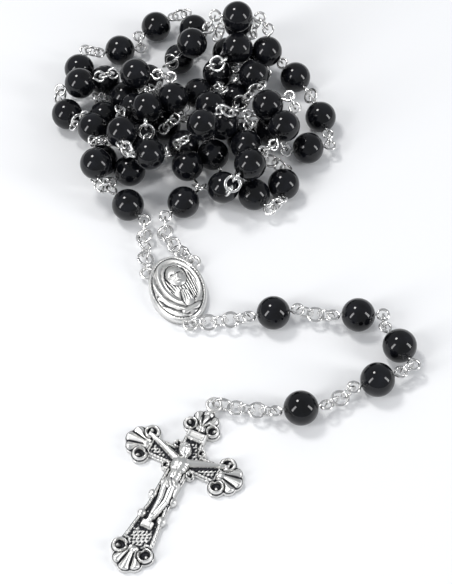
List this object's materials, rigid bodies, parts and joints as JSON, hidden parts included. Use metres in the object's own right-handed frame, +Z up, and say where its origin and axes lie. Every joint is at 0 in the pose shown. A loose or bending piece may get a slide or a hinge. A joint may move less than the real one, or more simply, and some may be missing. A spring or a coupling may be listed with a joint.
{
  "type": "rosary",
  "caption": "Rosary heaped on a table: polished black beads on silver-coloured eye pins and round links, an oval relief centre medal and an ornate crucifix.",
  "frame": {"origin": "centre of the medal's back face, on the table", "axes": "+Z up from the table, +Y from the pendant's side of the medal towards the heaped loop"},
  "size_m": [0.0792, 0.1434, 0.0198],
  "materials": {
    "black_onyx": "polished black stone",
    "silver_wire": "bright silver plate",
    "antique_silver": "cast, silver plated, darkened in the recesses"
  },
  "bodies": {
    "medal_and_loop": {"medal": "antique_silver", "medal_links_left": "silver_wire", "medal_links_right": "silver_wire", "decade_1_beads": "black_onyx", "decade_1_pins": "silver_wire", "decade_1_links": "silver_wire", "decade_2_beads": "black_onyx", "decade_2_pins": "silver_wire", "decade_2_links": "silver_wire", "decade_3_beads": "black_onyx", "decade_3_pins": "silver_wire", "decade_3_links": "silver_wire", "decade_4_beads": "black_onyx", "decade_4_pins": "silver_wire", "decade_4_links": "silver_wire", "decade_5_beads": "black_onyx", "decade_5_pins": "silver_wire", "decade_5_links": "silver_wire", "our_father_pin_1": "silver_wire", "our_father_links_1": "silver_wire", "our_father_pin_2": "silver_wire", "our_father_links_2": "silver_wire", "our_father_pin_3": "silver_wire", "our_father_links_3": "silver_wire", "our_father_pin_4": "silver_wire", "our_father_links_4": "silver_wire"},
    "pendant_link_1": {"pendant_link_1": "silver_wire"},
    "pendant_link_2": {"pendant_link_2": "silver_wire"},
    "pendant_link_3": {"pendant_link_3": "silver_wire"},
    "pendant_link_4": {"pendant_link_4": "silver_wire"},
    "pendant_link_5": {"pendant_link_5": "silver_wire"},
    "pendant_pin_1": {"pendant_pin_1": "silver_wire"},
    "pendant_bead_1": {"pendant_bead_1": "black_onyx"},
    "pendant_link_6": {"pendant_link_6": "silver_wire"},
    "pendant_link_7": {"pendant_link_7": "silver_wire"},
    "pendant_link_8": {"pendant_link_8": "silver_wire"},
    "pendant_pin_2": {"pendant_pin_2": "silver_wire"},
    "pendant_bead_2": {"pendant_bead_2": "black_onyx"},
    "pendant_link_9": {"pendant_link_9": "silver_wire"},
    "pendant_pin_3": {"pendant_pin_3": "silver_wire"},
    "pendant_bead_3": {"pendant_bead_3": "black_onyx"},
    "pendant_link_10": {"pendant_link_10": "silver_wire"},
    "pendant_pin_4": {"pendant_pin_4": "silver_wire"},
    "pendant_bead_4": {"pendant_bead_4": "black_onyx"},
    "pendant_link_11": {"pendant_link_11": "silver_wire"},
    "pendant_link_12": {"pendant_link_12": "silver_wire"},
    "pendant_link_13": {"pendant_link_13": "silver_wire"},
    "pendant_pin_5": {"pendant_pin_5": "silver_wire"},
    "pendant_bead_5": {"pendant_bead_5": "black_onyx"},
    "pendant_link_14": {"pendant_link_14": "silver_wire"},
    "pendant_link_15": {"pendant_link_15": "silver_wire"},
    "pendant_link_16": {"pendant_link_16": "silver_wire"},
    "pendant_link_17": {"pendant_link_17": "silver_wire"},
    "jump_ring": {"jump_ring": "silver_wire"},
    "crucifix": {"crucifix": "antique_silver"},
    "our_father_bead_1": {"our_father_bead_1": "black_onyx"},
    "our_father_bead_2": {"our_father_bead_2": "black_onyx"},
    "our_father_bead_3": {"our_father_bead_3": "black_onyx"},
    "our_father_bead_4": {"our_father_bead_4": "black_onyx"}
  },
  "joints": [
    {"name": "pendant_link_1_swing", "type": "hinge", "parent": "medal_and_loop", "child": "pendant_link_1", "pos_m": [0.00275, -0.00899, 0.0014], "axis": [0, 0, -1], "range_deg": [-12, 12]},
    {"name": "pendant_link_2_swing", "type": "hinge", "parent": "pendant_link_1", "child": "pendant_link_2", "pos_m": [0.00539, -0.00886, 0.00187], "axis": [0, 0, 1], "range_deg": [-12, 12]},
    {"name": "pendant_link_3_swing", "type": "hinge", "parent": "pendant_link_2", "child": "pendant_link_3", "pos_m": [0.00769, -0.00875, 0.00195], "axis": [0, 0, -1], "range_deg": [-12, 12]},
    {"name": "pendant_link_4_swing", "type": "hinge", "parent": "pendant_link_3", "child": "pendant_link_4", "pos_m": [0.00999, -0.00864, 0.0023], "axis": [0, 0, 1], "range_deg": [-12, 12]},
    {"name": "pendant_link_5_swing", "type": "hinge", "parent": "pendant_link_4", "child": "pendant_link_5", "pos_m": [0.01228, -0.00852, 0.00265], "axis": [0, 0, -1], "range_deg": [-12, 12]},
    {"name": "pendant_pin_1_swing", "type": "hinge", "parent": "pendant_link_5", "child": "pendant_pin_1", "pos_m": [0.01493, -0.00839, 0.0035], "axis": [0, 0, 1], "range_deg": [-12, 12]},
    {"name": "pendant_bead_1_spin", "type": "hinge", "parent": "pendant_pin_1", "child": "pendant_bead_1", "pos_m": [0.02, -0.0075, 0.0035], "axis": [0.9848, 0.1736, 0], "continuous": true},
    {"name": "pendant_link_6_swing", "type": "hinge", "parent": "pendant_pin_1", "child": "pendant_link_6", "pos_m": [0.02507, -0.00661, 0.0035], "axis": [0, 0, -1], "range_deg": [-12, 12]},
    {"name": "pendant_link_7_swing", "type": "hinge", "parent": "pendant_link_6", "child": "pendant_link_7", "pos_m": [0.02763, -0.00709, 0.00265], "axis": [0, 0, 1], "range_deg": [-12, 12]},
    {"name": "pendant_link_8_swing", "type": "hinge", "parent": "pendant_link_7", "child": "pendant_link_8", "pos_m": [0.02979, -0.00751, 0.00265], "axis": [0, 0, -1], "range_deg": [-12, 12]},
    {"name": "pendant_pin_2_swing", "type": "hinge", "parent": "pendant_link_8", "child": "pendant_pin_2", "pos_m": [0.03235, -0.008, 0.0035], "axis": [0, 0, 1], "range_deg": [-12, 12]},
    {"name": "pendant_bead_2_spin", "type": "hinge", "parent": "pendant_pin_2", "child": "pendant_bead_2", "pos_m": [0.0375, -0.008, 0.0035], "axis": [1, 0, 0], "continuous": true},
    {"name": "pendant_link_9_lift", "type": "hinge", "parent": "pendant_pin_2", "child": "pendant_link_9", "pos_m": [0.04265, -0.008, 0.0035], "axis": [-0.9959, -0.0901, 0], "range_deg": [0, 6]},
    {"name": "pendant_pin_3_swing", "type": "hinge", "parent": "pendant_link_9", "child": "pendant_pin_3", "pos_m": [0.04292, -0.01104, 0.0035], "axis": [0, 0, -1], "range_deg": [-12, 12]},
    {"name": "pendant_bead_3_spin", "type": "hinge", "parent": "pendant_pin_3", "child": "pendant_bead_3", "pos_m": [0.0455, -0.0155, 0.0035], "axis": [0.5, -0.866, 0], "continuous": true},
    {"name": "pendant_link_10_lift", "type": "hinge", "parent": "pendant_pin_3", "child": "pendant_link_10", "pos_m": [0.04807, -0.01996, 0.0035], "axis": [-0.5451, 0.8384, 0], "range_deg": [0, 6]},
    {"name": "pendant_pin_4_swing", "type": "hinge", "parent": "pendant_link_10", "child": "pendant_pin_4", "pos_m": [0.04534, -0.02174, 0.0035], "axis": [0, 0, 1], "range_deg": [-12, 12]},
    {"name": "pendant_bead_4_spin", "type": "hinge", "parent": "pendant_pin_4", "child": "pendant_bead_4", "pos_m": [0.0405, -0.0235, 0.0035], "axis": [-0.9397, -0.342, 0], "continuous": true},
    {"name": "pendant_link_11_lift", "type": "hinge", "parent": "pendant_pin_4", "child": "pendant_link_11", "pos_m": [0.03566, -0.02526, 0.0035], "axis": [-0.586, 0.8103, 0], "range_deg": [0, 6]},
    {"name": "pendant_link_12_swing", "type": "hinge", "parent": "pendant_link_11", "child": "pendant_link_12", "pos_m": [0.0337, -0.02668, 0.00265], "axis": [0, 0, -1], "range_deg": [-12, 12]},
    {"name": "pendant_link_13_swing", "type": "hinge", "parent": "pendant_link_12", "child": "pendant_link_13", "pos_m": [0.03206, -0.02787, 0.00265], "axis": [0, 0, 1], "range_deg": [-12, 12]},
    {"name": "pendant_pin_5_swing", "type": "hinge", "parent": "pendant_link_13", "child": "pendant_pin_5", "pos_m": [0.0301, -0.02928, 0.0035], "axis": [0, 0, -1], "range_deg": [-12, 12]},
    {"name": "pendant_bead_5_spin", "type": "hinge", "parent": "pendant_pin_5", "child": "pendant_bead_5", "pos_m": [0.025, -0.03, 0.0035], "axis": [-0.9903, -0.1392, 0], "continuous": true},
    {"name": "pendant_link_14_lift", "type": "hinge", "parent": "pendant_pin_5", "child": "pendant_link_14", "pos_m": [0.0199, -0.03072, 0.0035], "axis": [0.2036, 0.979, 0], "range_deg": [0, 6]},
    {"name": "pendant_link_15_swing", "type": "hinge", "parent": "pendant_link_14", "child": "pendant_link_15", "pos_m": [0.0174, -0.0302, 0.00265], "axis": [0, 0, 1], "range_deg": [-12, 12]},
    {"name": "pendant_link_16_swing", "type": "hinge", "parent": "pendant_link_15", "child": "pendant_link_16", "pos_m": [0.01533, -0.02977, 0.0023], "axis": [0, 0, -1], "range_deg": [-12, 12]},
    {"name": "pendant_link_17_swing", "type": "hinge", "parent": "pendant_link_16", "child": "pendant_link_17", "pos_m": [0.01327, -0.02934, 0.00202], "axis": [0, 0, 1], "range_deg": [-12, 12]},
    {"name": "jump_ring_lift", "type": "hinge", "parent": "pendant_link_17", "child": "jump_ring", "pos_m": [0.01091, -0.02885, 0.00217], "axis": [0.2036, 0.979, 0], "range_deg": [0, 15]},
    {"name": "crucifix_lift", "type": "hinge", "parent": "jump_ring", "child": "crucifix", "pos_m": [0.0078, -0.0282, 0.0016], "axis": [0.2036, 0.979, 0], "range_deg": [0, 10]},
    {"name": "our_father_bead_1_spin", "type": "hinge", "parent": "medal_and_loop", "child": "our_father_bead_1", "pos_m": [-0.00739, 0.04176, 0.01153], "axis": [0.012, 0.9963, -0.085], "continuous": true},
    {"name": "our_father_bead_2_spin", "type": "hinge", "parent": "medal_and_loop", "child": "our_father_bead_2", "pos_m": [0.01236, 0.05192, 0.00354], "axis": [-0.0421, -0.9152, 0.4007], "continuous": true},
    {"name": "our_father_bead_3_spin", "type": "hinge", "parent": "medal_and_loop", "child": "our_father_bead_3", "pos_m": [0.01376, 0.03983, 0.00353], "axis": [0.5778, -0.8139, -0.0604], "continuous": true},
    {"name": "our_father_bead_4_spin", "type": "hinge", "parent": "medal_and_loop", "child": "our_father_bead_4", "pos_m": [-0.00359, 0.04382, 0.00353], "axis": [-0.9382, -0.0605, -0.3408], "continuous": true}
  ]
}
